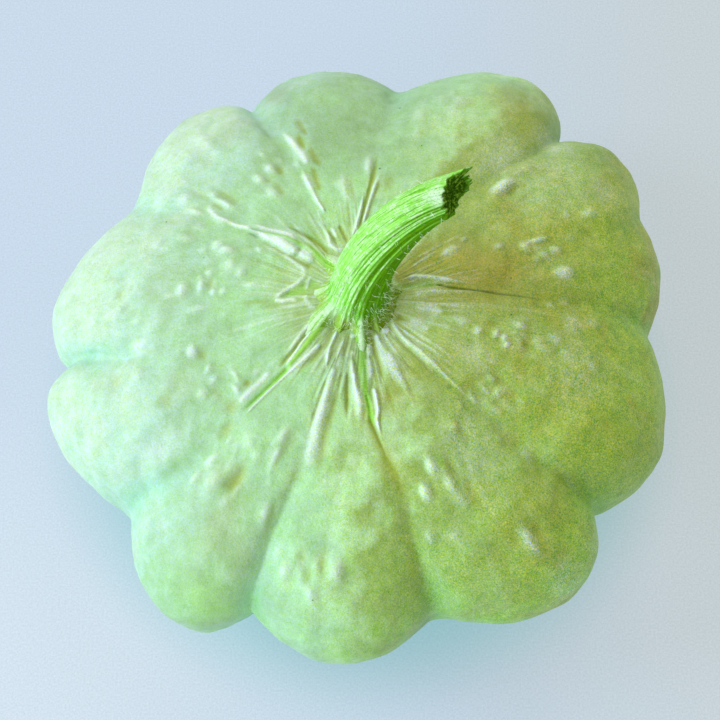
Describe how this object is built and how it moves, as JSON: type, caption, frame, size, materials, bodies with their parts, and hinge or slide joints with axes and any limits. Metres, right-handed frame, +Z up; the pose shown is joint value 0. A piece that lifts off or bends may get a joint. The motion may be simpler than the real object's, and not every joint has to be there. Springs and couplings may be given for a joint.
{
  "type": "pattypan squash",
  "caption": "Whole pattypan squash as picked: a low scalloped summer squash with a cut, ribbed stem, resting on its blossom end.",
  "frame": {"origin": "middle of the flat resting face on the blossom end, under the stem's foot", "axes": "+Z up, from the blossom end to the stem end; the stem bends over towards +X and a little +Y"},
  "size_m": [0.1289, 0.1322, 0.089],
  "materials": {
    "skin": "satin, waxy pale green skin with slight bumps",
    "stem_rind": "matte, ribbed and finely hairy green stem"
  },
  "bodies": {
    "root": {"fruit": "skin", "stem": "stem_rind"}
  },
  "joints": []
}
